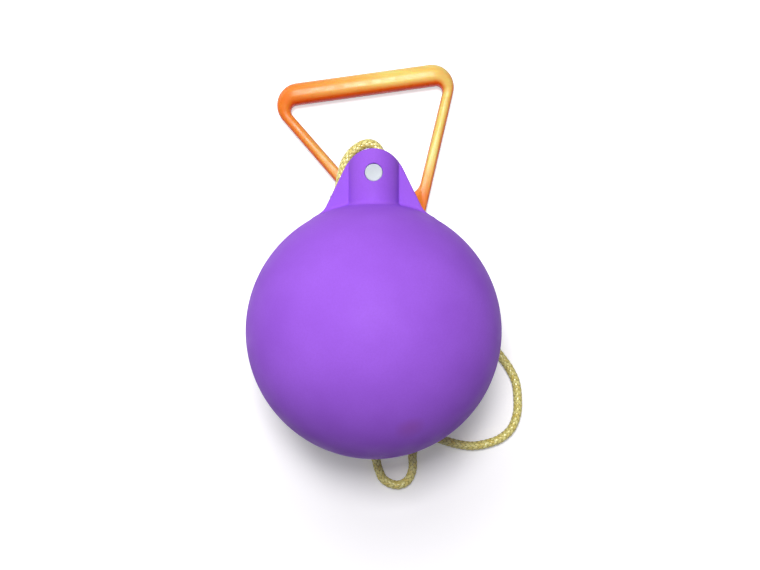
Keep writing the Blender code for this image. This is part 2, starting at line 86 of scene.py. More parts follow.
# Ball and lug, as in the construction, but for a smaller fillet, because the join to the ball adds
# to it. The disc that the lug's foot runs into sinks away between the two fades.
BALL_RADIUS = 82.5 * MM
LUG_DOME_RADIUS = 21.2 * MM
LUG_DOME_Y = 95.2 * MM
LUG_FLANK_ANGLE = math.radians(26)
LUG_PLATE_THICKNESS = 6.0 * MM
LUG_FILLET = 3.8 * MM
LUG_ROOT_SINK = 0.3 * MM
LUG_FADE_START = 3.5 * MM
LUG_FADE_END = 11.0 * MM
LUG_FADE_DEPTH = 7.5 * MM
BOSS_RADIUS = 16.4 * MM
SLOT_WIDTH = 8.5 * MM
SLOT_FLOOR_RISE = 2.1 * MM
PIN_Y = 101.1 * MM
PIN_HOLE_RADIUS = 5.7 * MM
VENT_HOLE_RADIUS = 7.3 * MM
VENT_DEPTH = 3.4 * MM

# Edges, joins and the mould's parting line on the ball and lug.
PLATE_EDGE = 0.9 * MM
BOSS_EDGE = 1.1 * MM
SLOT_EDGE = 0.7 * MM
BOSS_JOIN = 0.9 * MM
BALL_JOIN = 2.3 * MM
HOLE_EDGE = 0.35 * MM
PARTING_HEIGHT = 0.09 * MM
PARTING_WIDTH = 0.55 * MM

# Meshes of the ball and lug. The lug's foot dips under the ball's skin along its skirt.
BALL_SEGMENTS = 176
BALL_RINGS = 92
PARTING_RINGS = (0.2, 0.45, 0.75, 1.1)
PARTING_SPREAD = 1.6
VENT_RINGS = (0.0, 0.3, 0.65, 1.0)
VENT_WALL_START = 0.8 * MM
VENT_WALL_TRIM = 1.2 * MM
CORE_DRAW = 0.5 * MM
SLOPE_STEP = 0.02 * MM
LEAST_SLOPE = 0.2
NET_STEP = 0.7 * MM
NET_LOW = (-54 * MM, 60 * MM, -26 * MM)
NET_HIGH = (54 * MM, 118 * MM, 26 * MM)
SKIRT_PROUD = 0.05 * MM
SKIRT_SINK = 0.45 * MM
SKIRT_START = 2.6 * MM
SKIRT_END = 5.4 * MM
SKIRT_REACH = 6.2 * MM
SKIRT_DEPTH = 3.0 * MM

# Rope and braid. Each strand has a tint: most are pale, some golden.
ROPE_RADIUS = 3.25 * MM
ROPE_FLOOR_LIFT = 0.2 * MM
BRAID_STRANDS = 8
BRAID_LEAD = 28.0 * MM
BRAID_STEP = 1.3 * MM
STRAND_WIDTH = 2.3 * MM
STRAND_THICKNESS = 0.9 * MM
STRAND_SWING = 0.34 * MM
STRAND_SIDES = 6
# Share of a strand's painted light that the lower side of its section keeps; the rest is painted
# shade.
STRAND_EDGE = 0.35
STRAND_TINTS = [0.95, 0.55, 0.9, 0.3, 1.0, 0.6, 0.75, 0.9,
                0.65, 0.9, 0.45, 0.8, 0.35, 1.0, 0.5, 0.7]
CORE_RADIUS = 2.0 * MM
CORE_SIDES = 10
BRAID_SHARP = 75.0
ROUTE_STEPS = 24

# Fittings: crimped sleeve, pin caps and vent plug. A dish or ring is a list of places, as shares
# of the radius or real sizes, each with its depth there. The plug's are shares of the ring's depth.
SLEEVE_CENTRE = (-20.65 * MM, 88.0 * MM)
SLEEVE_BOTTOM = 40.0 * MM
SLEEVE_TOP = 58.0 * MM
SLEEVE_HALF = 3.45 * MM
SLEEVE_WALL = 1.5 * MM
SLEEVE_BORE = 3.7 * MM
SLEEVE_STEPS = 40
SLEEVE_ARC_STEPS = 24
SLEEVE_LIP = 0.4 * MM
SLEEVE_LIP_DROP = 0.05 * MM
SLEEVE_BELL_DEPTH = 0.6 * MM
SLEEVE_ROUNDING = 0.5 * MM
CRIMP_PLACES = (0.2, 0.5, 0.8)
CRIMP_REACH = 0.075
CRIMP_DEPTH = 0.75 * MM
CRIMP_SPREAD = 0.1 * MM
CAP_GAP = 0.06 * MM
CAP_DEPTH = 2.4 * MM
CAP_RIM = 0.45 * MM
CAP_RIM_STEPS = 6
CAP_SEGMENTS = 72
CAP_SHARP = 50.0
CAP_DISH = [(0.8, 0.03 * MM), (0.4, 0.12 * MM), (0, 0.15 * MM)]
PLUG_GAP = 0.3 * MM
PLUG_EDGE = 0.3 * MM
PLUG_DEPTH = 3.0 * MM
PLUG_RING_DEPTH = 0.25 * MM
PLUG_DIMPLE = [(0, 1), (0.8 * MM, 0.8), (1.0 * MM, 0)]
PLUG_RING = [(0.6, 0), (0.63, 1), (0.7, 1), (0.73, 0)]
PLUG_SEGMENTS = 56

# The rope's routes, with points in millimetres. The free rope's are those of the construction. The
# eye's are taken from the pin's middle, and lie a little closer to the lug than there.
ROPE_SPLICE_Z = 49.0 * MM
DEAD_END_Z = 44.0 * MM
EYE_PLANE_Z = 75.25 * MM
LIVE_STRAND = (-24.1, -13.1)
DEAD_STRAND = (-17.2, -13.1)
EYE_RISE = [(-24.1, -13.1, -15.2), (-24.0, -12.5, -9.2), (-23.4, -10.8, -4.0), (-22.4, -7.6, -0.6)]
EYE_ARC = [
    (-21.6, -3.2), (-20.7, 1.4), (-19.5, 6.1), (-17.6, 10.5), (-14.8, 14.4), (-11.2, 17.7),
    (-7.3, 19.9), (-3.6, 20.8), (-0.3, 20.1), (2.2, 18.1), (4.4, 14.6), (6.7, 9.6), (8.6, 4.6),
    (9.3, -0.6), (7.8, -5.2), (4.6, -8.3), (0.2, -9.4), (-4.3, -9.5), (-9.0, -9.8),
]
EYE_FALL = [(-13.1, -10.4, -0.6), (-16.0, -11.6, -4.0), (-17.1, -12.6, -9.2), (-17.2, -13.1, -15.2)]
ROPE_FALL = [
    (-24.4, 87.4, 37.0), (-25.8, 84.4, 30.5), (-28.1, 79.8, 22.8), (-31.3, 74.3, 15.0),
    (-35.4, 68.3, 8.2), (-40.0, 62.4, 4.5),
]
ROPE_LIE = [
    (-44.5, 57.0), (-50.0, 42.0), (-53.8, 24.0), (-54.5, 4.0), (-52.0, -16.0), (-46.5, -36.0),
    (-37.5, -54.0), (-26.0, -69.0), (-12.5, -80.8), (-3.6, -87.8), (1.0, -94.2), (2.8, -100.9),
    (6.9, -109.0), (16.0, -112.7), (23.7, -109.5), (27.3, -100.9), (27.2, -91.8), (29.2, -84.5),
    (34.8, -79.2), (42.6, -79.0), (51.4, -81.6), (60.3, -83.9), (70.3, -84.9), (80.9, -83.1),
    (90.4, -79.2), (97.8, -72.1), (101.6, -61.5), (101.9, -49.7), (100.4, -39.1), (95.7, -29.4),
    (89.6, -20.8), (81.0, -10.0), (70.0, 4.0), (58.6, 17.0), (46.6, 28.2), (35.4, 37.6),
]
ROPE_RISE = [(27.6, 45.2, 4.2), (21.9, 51.4, 5.9)]
ROPE_LEAD = 12.0 * MM
BEND_REACH = 26.0 * MM

# Stopper knot and the melted tip after it, with the tip's profile in millimetres.
KNOT_WRAP_RADIUS = 4.35 * MM
KNOT_START = 22.6 * MM
KNOT_END = 36.4 * MM
KNOT_TURNS = 1.85
KNOT_STUB = 3.0 * MM
KNOT_LEAD = 2.5 * MM
KNOT_SWELL = 0.16
KNOT_STEPS = 22
TIP_PROFILE = [(0, -0.6), (2.5, -0.6), (2.75, 0), (2.4, 0.45), (1.3, 0.75), (0, 0.85)]
TIP_SEGMENTS = 20

# Handle, as in the construction.
HANDLE_X = 16.9 * MM
HANDLE_Y = 69.4 * MM
HANDLE_TURN = math.radians(7.9)
HANDLE_REACH = 104.0 * MM
BAR_LENGTH = 130.0 * MM
BAR_MIDDLE_X = -11.75 * MM
BAR_THICKNESS = 15.3 * MM
BAR_DEPTH = 15.0 * MM
LEFT_LEG_ANGLE = math.radians(33.0)
RIGHT_LEG_ANGLE = math.radians(21.2)
LEG_TOP_WIDTH = 7.0 * MM
LEG_LOW_WIDTH = 8.2 * MM
LEG_DEPTH = 10.0 * MM
WEB_LENGTH = 23.0 * MM
WEB_DEPTH = 15.0 * MM
BAR_OUTER_FILLET = 15.5 * MM
BAR_INNER_FILLET = 4.5 * MM
WEB_OUTER_FILLET = 9.0 * MM
WEB_INNER_FILLET = 11.0 * MM
SECTION_ROUNDING = 0.42
SEAM_HEIGHT = 0.12 * MM
SEAM_HALF_WIDTH = 0.35 * MM
SEAM_ON_FLAT = 0.9
ROPE_BORE_RADIUS = 3.8 * MM
BORE_FLARE_RADIUS = 5.1 * MM
BORE_FLARE_DEPTH = 2.0 * MM
FLARE_STEPS = 8
BORE_SEGMENTS = 48
FILLET_STEPS = 22
SIDE_STEPS = 26
SECTION_STEPS = 9

# Edges over this many degrees are shaded sharp.
SHARP_ANGLE = 40.0

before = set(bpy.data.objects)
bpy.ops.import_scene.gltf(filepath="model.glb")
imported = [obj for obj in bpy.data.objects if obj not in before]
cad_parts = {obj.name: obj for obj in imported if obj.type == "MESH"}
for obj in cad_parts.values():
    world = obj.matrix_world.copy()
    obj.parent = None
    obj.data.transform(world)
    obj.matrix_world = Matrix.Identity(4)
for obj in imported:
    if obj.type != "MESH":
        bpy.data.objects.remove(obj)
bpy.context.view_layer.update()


# Materials

class Finish:
    """A Principled material that is built up node by node."""

    def __init__(self, name, roughness=0.5, metallic=0.0):
        self.material = bpy.data.materials.new(name)
        self.material.use_nodes = True
        self.tree = self.material.node_tree
        self.shader = self.tree.nodes["Principled BSDF"]
        self.fix("Roughness", roughness)
        self.fix("Metallic", metallic)
        self.place = self.add("ShaderNodeTexCoord").outputs["Object"]

    def fix(self, socket, value):
        """Give one of the shader's sockets the same value all over."""
        self.shader.inputs[socket].default_value = value

    def set(self, **values):
        """Feed the shader's sockets: base_color is its Base Color."""
        for key, value in values.items():
            self.feed(self.shader.inputs[key.replace("_", " ").title()], value)

    def feed(self, socket, value):
        if isinstance(value, bpy.types.NodeSocket):
            self.tree.links.new(value, socket)
        else:
            socket.default_value = value

    def add(self, kind, inputs=None, **settings):
        node = self.tree.nodes.new(kind)
        for key, value in settings.items():
            setattr(node, key, value)
        for key, value in (inputs or {}).items():
            self.feed(node.inputs[key], value)
        return node

    def noise(self, scale, detail=2.0, roughness=0.5, place=None):
        node = self.add("ShaderNodeTexNoise", {"Vector": place or self.place, "Scale": scale,
                                               "Detail": detail, "Roughness": roughness})
        return node.outputs["Fac"]

    def maths(self, operation, first, second=0.0):
        """The result of one operation on two values."""
        return self.add("ShaderNodeMath", {0: first, 1: second}, operation=operation).outputs[0]

    def span(self, value, low, high, start=0.0, end=1.0):
        """A value from low to high as one from start to end."""
        node = self.add("ShaderNodeMapRange", {"Value": value, "From Min": low, "From Max": high,
                                               "To Min": start, "To Max": end})
        return node.outputs["Result"]

    def mix(self, share, first, second):
        node = self.add("ShaderNodeMix", {0: share, 6: first, 7: second}, data_type="RGBA")
        return node.outputs[2]

    def axis(self, letter, place=None):
        node = self.add("ShaderNodeSeparateXYZ", {0: place or self.place})
        return node.outputs[letter]

    def away(self, place):
        node = self.add("ShaderNodeVectorMath", {0: self.place, 1: place}, operation="DISTANCE")
        return node.outputs["Value"]

    def attribute(self, name):
        """A number that the mesh holds at each of its points."""
        return self.add("ShaderNodeAttribute", attribute_name=name).outputs["Fac"]

    def stretched(self, scale, rotation=(0.0, 0.0, 0.0)):
        """The place turned and scaled by axis."""
        inputs = {"Vector": self.place, "Rotation": rotation, "Scale": scale}
        return self.add("ShaderNodeMapping", inputs).outputs["Vector"]

    def bump(self, height, strength, distance, below=None):
        """A normal with the relief of a height, on top of another bump."""
        inputs = {"Height": height, "Strength": strength, "Distance": distance}
        if below:
            inputs["Normal"] = below
        return self.add("ShaderNodeBump", inputs).outputs["Normal"]


def colour(red, green, blue):
    """An sRGB colour of 0 to 255 as linear RGBA."""
    linear = []
    for value in (red, green, blue):
        share = value / 255
        linear.append(share / 12.92 if share <= 0.04045 else ((share + 0.055) / 1.055) ** 2.4)
    return (*linear, 1.0)


def soft_vinyl():
    """Satin purple vinyl: faint clouds and specks in the colour, a faint stain, fine skin texture."""
    made = Finish("soft_vinyl", 0.55)
    clouds = made.noise(20.0, 3.0)
    specks = made.noise(900.0, 2.0, 0.6)
    tone = made.mix(made.span(clouds, 0.35, 0.65), colour(161, 95, 231), colour(169, 102, 240))
    tone = made.mix(made.span(specks, 0.35, 0.75, 0.0, 0.3), tone, colour(150, 87, 219))
    ragged = made.maths("MULTIPLY", made.away(STAIN_PLACE), made.span(clouds, 0.3, 0.7, 0.7, 1.3))
    stain = made.span(ragged, STAIN_REACH * 0.3, STAIN_REACH, 0.55, 0.0)
    made.set(base_color=made.mix(stain, tone, colour(160, 88, 190)))
    made.set(roughness=made.span(made.noise(60.0, 4.0, 0.6), 0.3, 0.7, 0.48, 0.62))
    skin = made.bump(made.noise(1400.0, 2.0, 0.5), 0.10, 0.0002)
    made.set(normal=made.bump(made.noise(90.0, 2.0), 0.06, 0.0006, skin))
    made.fix("Specular IOR Level", 0.07)
    return made.material


def plug_rubber():
    """Matt, darker purple rubber with a fine grain."""
    made = Finish("plug_rubber", 0.6)
    grain = made.noise(1500.0, 3.0)
    made.set(base_color=made.mix(grain, colour(96, 58, 150), colour(112, 70, 170)))
    made.set(normal=made.bump(grain, 0.25, 0.0002))
    return made.material


def cap_plastic():
    """Pale grey moulded plastic, slightly mottled."""
    made = Finish("cap_plastic", 0.38)
    cloud = made.noise(260.0, 3.0)
    made.set(base_color=made.mix(cloud, colour(186, 196, 198), colour(204, 212, 214)))
    made.set(roughness=made.span(cloud, 0.3, 0.7, 0.32, 0.46))
    made.set(normal=made.bump(made.noise(900.0, 2.0), 0.12, 0.0002))
    made.fix("Specular IOR Level", 0.3)
    return made.material


def pin_plastic():
    """Grey nylon with turning marks round the pin."""
    made = Finish("pin_plastic", 0.45)
    rings = made.add("ShaderNodeTexWave", {"Vector": made.place, "Scale": 420.0, "Distortion": 0.6},
                     bands_direction="Z").outputs["Fac"]
    made.set(base_color=made.mix(rings, colour(176, 178, 184), colour(196, 198, 204)))
    made.set(normal=made.bump(rings, 0.15, 0.0001))
    return made.material


def crimped_metal():
    """Aluminium with tooling scratches along the sleeve."""
    made = Finish("crimped_metal", 0.34, 1.0)
    scratch = made.noise(2600.0, 4.0, 0.7, made.stretched((1.0, 1.0, 0.06)))
    made.set(base_color=made.mix(scratch, colour(138, 140, 145), colour(184, 186, 190)))
    made.set(roughness=made.span(made.noise(300.0, 3.0), 0.3, 0.7, 0.26, 0.44))
    made.set(normal=made.bump(scratch, 0.2, 0.0001))
    return made.material


def rope_yarn():
    """Glossy yarn: yellow and golden strands, fibres along them, painted shade where they dip under.
    """
    made = Finish("rope_yarn", 0.22)
    lay = made.add("ShaderNodeUVMap", uv_map="lay").outputs["UV"]
    tint = made.attribute("tint")
    place = made.add("ShaderNodeCombineXYZ", {
        "X": made.maths("MULTIPLY", made.axis("X", lay), FIBRES_ALONG),
        "Y": made.maths("MULTIPLY", made.axis("Y", lay), FIBRES_ACROSS),
        "Z": made.maths("MULTIPLY", tint, STRANDS_APART),
    })
    fibres = made.noise(1.0, 3.0, 0.65, place.outputs["Vector"])
    top = made.mix(tint, colour(228, 200, 70), colour(255, 247, 156))
    # Painted shade: dark ochre where a strand dips under its neighbours and along its lower side.
    tone = made.mix(made.span(made.attribute("painted_light"), 0.2, 0.72), colour(112, 96, 18), top)
    tone = made.mix(made.span(fibres, 0.35, 0.7, 0.0, 0.35), tone, colour(188, 164, 62))
    made.set(base_color=tone)
    made.set(normal=made.bump(fibres, 0.5, 0.0002))
    made.fix("Specular IOR Level", 0.7)
    return made.material


def melted_yarn():
    """The rope's cut end, melted to an amber bead."""
    made = Finish("melted_yarn", 0.35)
    cloud = made.noise(700.0, 3.0)
    made.set(base_color=made.mix(cloud, colour(150, 112, 44), colour(196, 166, 84)))
    made.set(normal=made.bump(cloud, 0.5, 0.0004))
    return made.material


def handle_plastic():
    """Glossy orange plastic with fine scuffs, a yellow painted highlight and red-orange painted
    shade.
    """
    made = Finish("handle_plastic", 0.25)
    # Painted light and shade, stored from the normals: high on tops and on faces towards +Y.
    painted_light = made.attribute("painted_light")
    streak_noise = made.noise(230.0, 2.0, 0.5, made.stretched((0.12, 1.0, 1.0), (0.0, 0.0, HANDLE_TURN)))
    # Painted highlight: yellow on the tops, stronger towards the handle's right side and its bar.
    glow = made.maths("MULTIPLY", made.span(made.axis("X"), *HIGHLIGHT_X, 0.1, 1.0),
                      made.span(made.axis("Y"), *HIGHLIGHT_Y, 0.1, 1.0))
    painted_highlight = made.maths("MULTIPLY", made.span(painted_light, 0.3, 0.85), glow)
    # The painted highlight is broken into streaks along the bar.
    highlight_streaks = made.maths("MULTIPLY", made.span(streak_noise, 0.35, 0.65, 0.3, 0.0),
                         made.span(made.axis("Y"), *HIGHLIGHT_STREAKS_Y))
    painted_highlight = made.maths("SUBTRACT", painted_highlight, made.maths("MULTIPLY", painted_highlight, highlight_streaks))
    # Painted shade: red-orange on the sides that face away from the light, orange on the others.
    side = made.mix(made.span(painted_light, -0.2, 0.5), colour(255, 58, 6), colour(255, 122, 26))
    tone = made.mix(painted_highlight, side, colour(255, 228, 126))
    scuffs = made.noise(420.0, 5.0, 0.7)
    tone = made.mix(made.span(scuffs, 0.6, 0.8, 0.0, 0.2), tone, colour(255, 184, 110))
    made.set(base_color=tone)
    made.set(roughness=made.span(made.noise(140.0, 4.0, 0.65), 0.35, 0.7, 0.24, 0.38))
    made.set(normal=made.bump(made.noise(120.0, 2.0), 0.08, 0.0008))
    made.fix("Specular IOR Level", 0.2)
    made.fix("Subsurface Weight", 0.35)
    made.fix("Subsurface Scale", 1.0)
    made.fix("Subsurface Radius", (0.006, 0.0015, 0.0004))
    return made.material


# Mesh tools

def add_object(name, mesh, surface, sharp=SHARP_ANGLE):
    """Link an object that holds the mesh, smooth but for its sharp edges."""
    item = bpy.data.objects.new(name, mesh)
    bpy.context.scene.collection.objects.link(item)
    mesh.materials.clear()
    mesh.materials.append(surface)
    mesh.shade_smooth()
    if sharp:
        mesh.set_sharp_from_angle(angle=math.radians(sharp))
    return item


def mesh_of(name, points, faces):
    """A mesh of these points and faces."""
    mesh = bpy.data.meshes.new(name)
    mesh.from_pydata(np.asarray(points).tolist(), [], [list(face) for face in faces])
    mesh.update()
    return mesh


def combine(name, first, second, operation):
    """The mesh that a boolean of two objects gives. Both objects are removed."""
    step = first.modifiers.new("cut", "BOOLEAN")
    step.operation = operation
    step.object = second
    step.solver = "EXACT"
    graph = bpy.context.evaluated_depsgraph_get()
    mesh = bpy.data.meshes.new_from_object(first.evaluated_get(graph))
    mesh.name = name
    bpy.data.objects.remove(first)
    bpy.data.objects.remove(second)
    return mesh


def store(mesh, name, values):
    """Store a number at each point of a mesh for its material."""
    mesh.attributes.new(name, "FLOAT", "POINT").data.foreach_set("value", values)


def unit(vectors):
    """Vectors at length one."""
    return vectors / np.linalg.norm(vectors, axis=-1, keepdims=True)


def seat(item, body, slot, *nodes):
    """Let a piece ride on its body in place of CAD nodes."""
    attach(item, body)
    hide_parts(*nodes)


def face_outwards(mesh):
    """Turn all faces of a closed mesh outwards."""
    bm = bmesh.new()
    bm.from_mesh(mesh)
    bmesh.ops.recalc_face_normals(bm, faces=bm.faces)
    bm.to_mesh(mesh)
    bm.free()


def rings_mesh(name, rings):
    """Quads between rings of points that are joined into a loop."""
    count = len(rings[0])
    points = np.concatenate([np.asarray(ring, float) for ring in rings])
    faces = []
    for index in range(len(rings)):
        start = index * count
        after = ((index + 1) % len(rings)) * count
        for step in range(count):
            following = (step + 1) % count
            faces.append((start + step, start + following, after + following, after + step))
    mesh = mesh_of(name, points, faces)
    face_outwards(mesh)
    return mesh


def turned(name, profile, segments):
    """A profile of (radius, height) points spun about Z. It starts and ends on the axis."""
    points = []
    starts = []
    for radius, height in profile:
        starts.append(len(points))
        count = segments if radius > 0 else 1
        for step in range(count):
            angle = 2 * math.pi * (step + 0.5) / segments
            points.append((radius * math.cos(angle), radius * math.sin(angle), height))
    faces = []
    for index in range(len(profile) - 1):
        lower = segments if profile[index][0] > 0 else 1
        upper = segments if profile[index + 1][0] > 0 else 1
        for step in range(segments):
            after = (step + 1) % segments
            corners = [starts[index] + step % lower, starts[index] + after % lower,
                       starts[index + 1] + after % upper, starts[index + 1] + step % upper]
            faces.append(tuple(dict.fromkeys(corners)))
    return mesh_of(name, points, faces)


# Signed distances of the ball and lug, measured from the ball's centre

def eased(value, start, end):
    """A smooth share that goes from 0 at the start to 1 at the end."""
    share = np.clip((value - start) / (end - start), 0, 1)
    return share * share * (3 - 2 * share)


def round_union(first, second, radius):
    """Two distances joined, with a round fillet between them."""
    near = np.maximum(radius - first, 0)
    far = np.maximum(radius - second, 0)
    return np.maximum(radius, np.minimum(first, second)) - np.hypot(near, far)


def round_both(first, second, radius):
    """What lies in both shapes, with a round edge."""
    return -round_union(-first, -second, radius)


def arch_distance(x, y):
    """Distance in the plate's plane from the arch of dome and flanks."""
    lean = LUG_FLANK_ANGLE
    across = np.abs(x)
    rise = y - LUG_DOME_Y
    past = across * math.sin(lean) - rise * math.cos(lean)
    flank = across * math.cos(lean) + rise * math.sin(lean)
    return np.where(past > 0, flank, np.hypot(across, rise)) - LUG_DOME_RADIUS


def lug_distance(points):
    """The lug: its plate with fillets at the ball, its boss and the rope's slot."""
    x, y, z = points.T
    arch = arch_distance(x, y)
    sink = LUG_ROOT_SINK + LUG_FADE_DEPTH * eased(arch, LUG_FADE_START, LUG_FADE_END)
    disc = np.hypot(x, y) - (BALL_RADIUS - sink)
    foot = round_union(arch, disc, LUG_FILLET)
    half = LUG_PLATE_THICKNESS / 2
    plate = round_both(foot, np.abs(z) - half, PLATE_EDGE)
    boss = round_both(arch, np.hypot(x, z) - BOSS_RADIUS, BOSS_EDGE)
    low = -half - SLOT_WIDTH
    slot = np.maximum(BALL_RADIUS + SLOT_FLOOR_RISE - y, np.abs(z - low / 2) + low / 2)
    boss = round_both(boss, -slot, SLOT_EDGE)
    return round_union(plate, boss, BOSS_JOIN)


def parting_line(z):
    """How far the mould's parting line stands up at a height."""
    return PARTING_HEIGHT * np.exp(-(z / PARTING_WIDTH) ** 2)


def with_vent(body, points):
    """Cut the vent plug's recess from the underside."""
    x, y, z = points.T
    vent = np.maximum(np.hypot(x, y) - VENT_HOLE_RADIUS, z + BALL_RADIUS - VENT_DEPTH)
    return round_both(body, -vent, HOLE_EDGE / 2)


def finished(body, points):
    """Cut the pin hole and raise the mould's parting line."""
    x, y, z = points.T
    hole = np.hypot(x, y - PIN_Y) - PIN_HOLE_RADIUS
    return round_both(body, -hole, HOLE_EDGE) - parting_line(z)


def skin_distance(points):
    """The whole skin: ball, lug, pin hole, parting line and vent recess."""
    body = np.linalg.norm(points, axis=1) - BALL_RADIUS
    near = points[:, 1] > NET_LOW[1] - SKIRT_REACH
    body[near] = round_union(lug_distance(points[near]), body[near], BALL_JOIN)
    return with_vent(finished(body, points), points)


def lug_piece_distance(points):
    """The lug as a piece whose foot dips under the ball's skin all round."""
    lug = lug_distance(points)
    reach = np.linalg.norm(points, axis=1)
    dip = SKIRT_SINK * eased(lug, SKIRT_START, SKIRT_END)
    body = round_union(lug, reach - (BALL_RADIUS + SKIRT_PROUD - dip), BALL_JOIN)
    body = finished(body, points)
    body = np.maximum(body, BALL_RADIUS - SKIRT_DEPTH - reach)
    return np.maximum(body, lug - SKIRT_REACH)


def gradient(distance, points):
    """The slope of a distance, by small steps."""
    slopes = []
    for axis in range(3):
        shift = np.zeros(3)
        shift[axis] = SLOPE_STEP
        slopes.append((distance(points + shift) - distance(points - shift)) / (2 * SLOPE_STEP))
    return np.stack(slopes, axis=1)


def drawn_in(distance, points, limit, rounds=5):
    """Move points onto the surface where a distance is zero, by no more than a limit each round."""
    for _ in range(rounds):
        slope = gradient(distance, points)
        size = np.maximum((slope ** 2).sum(1), LEAST_SLOPE)
        move = slope * (distance(points) / size)[:, None]
        length = np.linalg.norm(move, axis=1)
        points = points - move * np.minimum(1, limit / np.maximum(length, 1e-12))[:, None]
    return points


def surface_net(distance, low, high, step):
    """Points and quads on the surface of a distance, one point in each cell that it crosses."""
    axes = [np.arange(start, end + step, step) for start, end in zip(low, high)]
    grid = np.stack(np.meshgrid(*axes, indexing="ij"), axis=-1)
    inside = distance(grid.reshape(-1, 3)).reshape(grid.shape[:3]) < 0
    size = np.array(inside.shape) - 1
    count = np.zeros(size, int)
    for corner in itertools.product((0, 1), repeat=3):
        part = tuple(slice(start, start + length) for start, length in zip(corner, size))
        count += inside[part]
    crossed = (count > 0) & (count < 8)
    number = np.full(crossed.shape, -1)
    number[crossed] = np.arange(crossed.sum())
    points = np.array(low) + (np.argwhere(crossed) + 0.5) * step
    quads = []
    for axis in range(3):
        state = np.moveaxis(inside, axis, 0)
        cells = np.moveaxis(number, axis, 0)
        below = state[:-1, 1:-1, 1:-1]
        change = below != state[1:, 1:-1, 1:-1]
        i, j, k = np.nonzero(change)
        faces = np.stack([cells[i, j, k], cells[i, j + 1, k], cells[i, j + 1, k + 1],
                          cells[i, j, k + 1]], axis=1)
        turn = below[change] == (axis == 1)
        faces[turn] = faces[turn][:, ::-1]
        quads.append(faces)
    return points, np.concatenate(quads)


def relaxed(points, faces, distance, limit, rounds=3):
    """Even out the spacing of a net's points along its surface."""
    starts = np.concatenate([faces[:, side] for side in range(4)])
    ends = np.concatenate([faces[:, (side + 1) % 4] for side in range(4)])
    for _ in range(rounds):
        total = np.zeros_like(points)
        count = np.zeros(len(points))
        for first, second in ((starts, ends), (ends, starts)):
            np.add.at(total, first, points[second])
            np.add.at(count, first, 1)
        middle = total / count[:, None]
        points = drawn_in(distance, points + (middle - points) * 0.5, limit, 2)
    return points


def ball_rings():
    """Profile points of the ball from its top to the vent's floor, closer at the parting line."""
    vent_angle = math.pi - math.asin((VENT_HOLE_RADIUS + HOLE_EDGE) / BALL_RADIUS)
    angles = list(np.linspace(0, vent_angle, BALL_RINGS))
    for offset in PARTING_RINGS:
        for side in (-1, 1):
            angles.append(math.pi / 2 + side * offset * PARTING_WIDTH / BALL_RADIUS * PARTING_SPREAD)
    angles.append(math.pi / 2)
    profile = [(BALL_RADIUS * math.sin(angle), BALL_RADIUS * math.cos(angle))
               for angle in sorted(angles)]
    floor = -BALL_RADIUS + VENT_DEPTH
    for share in VENT_RINGS:
        height = -BALL_RADIUS + VENT_WALL_START + share * (VENT_DEPTH - VENT_WALL_TRIM)
        profile.append((VENT_HOLE_RADIUS, height))
    profile += [(VENT_HOLE_RADIUS * 0.9, floor), (0.0, floor)]
    profile[0] = (0.0, BALL_RADIUS)
    return profile


def ball_core_distance(points):
    """The plain ball with its parting line and vent, without the lug."""
    body = np.linalg.norm(points, axis=1) - BALL_RADIUS - parting_line(points[:, 2])
    return with_vent(body, points)


def vertex_array(mesh):
    """A mesh's points as an array."""
    points = np.zeros(len(mesh.vertices) * 3)
    mesh.vertices.foreach_get("co", points)
    return points.reshape(-1, 3)


def ball_skin(surface):
    """The ball and lug as one closed skin, shaded from its exact distance."""
    core = turned("ball_core", ball_rings(), BALL_SEGMENTS)
    points = drawn_in(ball_core_distance, vertex_array(core), CORE_DRAW)
    core.vertices.foreach_set("co", points.ravel())
    core.flip_normals()
    core_item = add_object("ball_core", core, surface, None)
    points, faces = surface_net(lug_piece_distance, NET_LOW, NET_HIGH, NET_STEP)
    points = drawn_in(lug_piece_distance, points, NET_STEP)
    points = relaxed(points, faces, lug_piece_distance, NET_STEP)
    lug_item = add_object("lug_piece", mesh_of("lug_piece", points, faces), surface, None)
    mesh = combine("ball_skin", core_item, lug_item, "UNION")
    slope = unit(gradient(skin_distance, vertex_array(mesh)))
    mesh.transform(Matrix.Translation((0, 0, BALL_RADIUS)))
    item = add_object("ball_skin", mesh, surface, None)
    mesh.normals_split_custom_set_from_vertices(slope.tolist())
    seat(item, "head", "soft_shell", "ball_shell")


# Routes and braids

def travelled(points):
    """The length of the way to each of the points."""
    return np.concatenate([[0], np.cumsum(np.linalg.norm(np.diff(points, axis=0), axis=1))])


def smooth_route(points, step):
    """Evenly spaced points on a smooth curve through the chosen ones."""
    chosen = np.asarray(points, float)
    chain = np.concatenate([[2 * chosen[0] - chosen[1]], chosen, [2 * chosen[-1] - chosen[-2]]])
    share = np.linspace(0, 1, ROUTE_STEPS, endpoint=False)[:, None]
    fine = []
    for before, start, end, after in zip(chain, chain[1:], chain[2:], chain[3:]):
        bend = (-before + 3 * start - 3 * end + after) * share ** 3
        lean = (2 * before - 5 * start + 4 * end - after) * share ** 2
        fine.append((2 * start + (end - before) * share + lean + bend) / 2)
    fine = np.concatenate(fine + [chosen[-1:]])
    reach = travelled(fine)
    count = max(2, round(reach[-1] / step))
    even = np.linspace(0, reach[-1], count + 1)
    return np.stack([np.interp(even, reach, fine[:, axis]) for axis in range(3)], axis=1)


def carried_frames(route):
    """Directions along a route and two across it, carried along with no twist."""
    along = unit(np.gradient(route, axis=0))
    side = np.cross(along[0], (0.0, 0.0, 1.0))
    if np.linalg.norm(side) < 0.1:
        side = np.cross(along[0], (1.0, 0.0, 0.0))
    sides = []
    for direction in along:
        side = unit(side - direction * side.dot(direction))
        sides.append(side)
    sides = np.array(sides)
    return along, sides, np.cross(along, sides)


